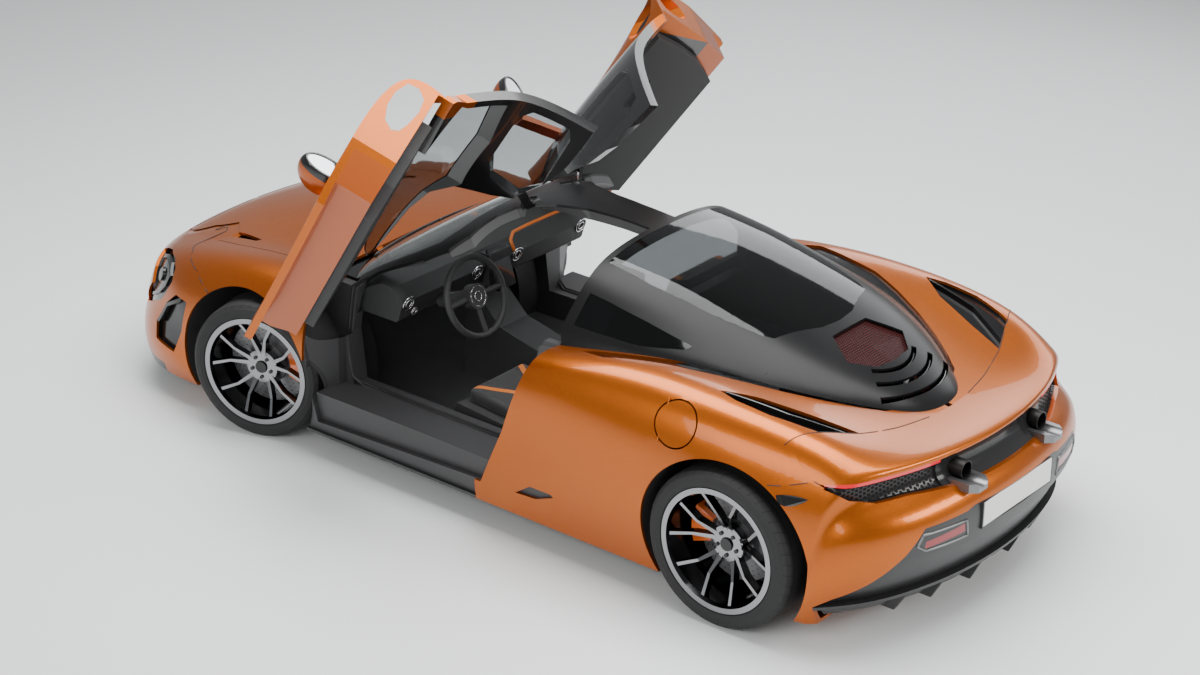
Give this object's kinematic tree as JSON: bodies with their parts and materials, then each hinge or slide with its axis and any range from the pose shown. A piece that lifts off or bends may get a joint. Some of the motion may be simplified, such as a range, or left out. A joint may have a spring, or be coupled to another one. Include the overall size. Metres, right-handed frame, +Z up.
{
  "type": "mid-engine supercar",
  "caption": "Low two-seat mid-engine sports car with both dihedral doors raised, glass canopy, side intakes, steered front wheels and a full cabin",
  "frame": {"origin": "on the ground under the middle of the car's length and width, tyres at z = 0", "axes": "+X forward to the nose, +Y to the car's left, +Z up"},
  "size_m": [4.5434, 2.7416, 1.8964],
  "materials": {
    "body_paint": "metallic orange paint under a clear coat",
    "black_frame": "satin black paint on the cabin shell and frames",
    "gloss_black": "gloss black moulding",
    "dark_plastic": "grained dark plastic",
    "tinted_glass": "dark tinted glass",
    "red_lens": "clear red lamp lens",
    "tyre_rubber": "black tyre",
    "rim_silver": "machined silver-grey alloy",
    "disc_grey": "grey drilled ceramic disc",
    "caliper_orange": "orange enamel",
    "bare_metal": "cast aluminium",
    "black_leather": "black leather with orange panels"
  },
  "bodies": {
    "car": {"calipers_rear": "caliper_orange", "canopy_frame": "black_frame", "dashboard": "dark_plastic", "diffuser": "dark_plastic", "engine": "bare_metal", "engine_cover": "gloss_black", "exhausts": "bare_metal", "front_bumper": "body_paint", "front_fenders": "body_paint", "front_tray": "dark_plastic", "headlamps": "gloss_black", "quarter_glass": "tinted_glass", "rear_bumper": "body_paint", "rear_frame": "black_frame", "rear_quarters": "body_paint", "rear_screen": "tinted_glass", "roof_frame": "black_frame", "seat_backs": "black_leather", "seat_cushions": "black_leather", "seats": "black_leather", "tail_lamps": "red_lens", "tail_panel": "gloss_black", "tail_surround": "dark_plastic", "tail_wing": "body_paint", "tub": "black_frame", "underfloor": "black_frame", "uprights_rear": "bare_metal", "vents": "gloss_black", "wheel_liners": "dark_plastic", "windscreen": "tinted_glass", "wishbones": "black_frame"},
    "left_door": {"door_left": "body_paint", "door_frame_left": "black_frame", "door_glass_left": "tinted_glass", "door_trim_left": "dark_plastic", "mirror_left": "gloss_black"},
    "front_left_upright": {"upright_front_left": "bare_metal", "caliper_front_left": "caliper_orange"},
    "front_left_wheel": {"tyre_front_left": "tyre_rubber", "rim_front_left": "rim_silver", "disc_front_left": "disc_grey"},
    "rear_left_wheel": {"tyre_rear_left": "tyre_rubber", "rim_rear_left": "rim_silver", "disc_rear_left": "disc_grey"},
    "right_door": {"door_right": "body_paint", "door_frame_right": "black_frame", "door_glass_right": "tinted_glass", "door_trim_right": "dark_plastic", "mirror_right": "gloss_black"},
    "front_right_upright": {"upright_front_right": "bare_metal", "caliper_front_right": "caliper_orange"},
    "front_right_wheel": {"tyre_front_right": "tyre_rubber", "rim_front_right": "rim_silver", "disc_front_right": "disc_grey"},
    "rear_right_wheel": {"tyre_rear_right": "tyre_rubber", "rim_rear_right": "rim_silver", "disc_rear_right": "disc_grey"},
    "bonnet_lid": {"bonnet": "body_paint"},
    "steering_wheel": {"steering_wheel": "dark_plastic"},
    "fuel_flap": {"fuel_flap": "body_paint"}
  },
  "joints": [
    {"name": "left_door_swing", "type": "hinge", "parent": "car", "child": "left_door", "pos_m": [0.918, 0.726, 0.694], "axis": [-0.7049, -0.5486, 0.4496], "range_deg": [0, 80]},
    {"name": "right_door_swing", "type": "hinge", "parent": "car", "child": "right_door", "pos_m": [0.918, -0.726, 0.694], "axis": [0.7049, -0.5486, -0.4496], "range_deg": [0, 80]},
    {"name": "bonnet_lift", "type": "hinge", "parent": "car", "child": "bonnet_lid", "pos_m": [0.942, 0, 0.774], "axis": [0, -1, 0], "range_deg": [0, 55]},
    {"name": "left_steer", "type": "hinge", "parent": "car", "child": "front_left_upright", "pos_m": [1.21, 0.757, 0.327], "axis": [0, 0, 1], "range_deg": [-43.3, 12.7]},
    {"name": "right_steer", "type": "hinge", "parent": "car", "child": "front_right_upright", "pos_m": [1.21, -0.757, 0.327], "axis": [0, 0, 1], "range_deg": [-43.3, 12.7]},
    {"name": "steering_wheel_turn", "type": "hinge", "parent": "car", "child": "steering_wheel", "pos_m": [0.33, 0.365, 0.745], "axis": [-0.9336, 0, 0.3584], "range_deg": [-606.2, 177.8]},
    {"name": "front_left_wheel_spin", "type": "hinge", "parent": "front_left_upright", "child": "front_left_wheel", "pos_m": [1.18889, 0.83417, 0.327], "axis": [-0.2639, 0.9646, 0], "continuous": true},
    {"name": "front_right_wheel_spin", "type": "hinge", "parent": "front_right_upright", "child": "front_right_wheel", "pos_m": [1.23111, -0.83417, 0.327], "axis": [-0.2639, 0.9646, 0], "continuous": true},
    {"name": "rear_left_wheel_spin", "type": "hinge", "parent": "car", "child": "rear_left_wheel", "pos_m": [-1.46, 0.8145, 0.3455], "axis": [0, 1, 0], "continuous": true},
    {"name": "rear_right_wheel_spin", "type": "hinge", "parent": "car", "child": "rear_right_wheel", "pos_m": [-1.46, -0.8145, 0.3455], "axis": [0, 1, 0], "continuous": true},
    {"name": "fuel_flap_swing", "type": "hinge", "parent": "car", "child": "fuel_flap", "pos_m": [-1.1528, 0.9154, 0.81805], "axis": [-0.0098, 0.4389, -0.8985], "range_deg": [0, 75]}
  ],
  "couplings": [
    {"joint": "right_steer", "follows": "left_steer", "ratio": 1},
    {"joint": "steering_wheel_turn", "follows": "left_steer", "ratio": 14}
  ]
}
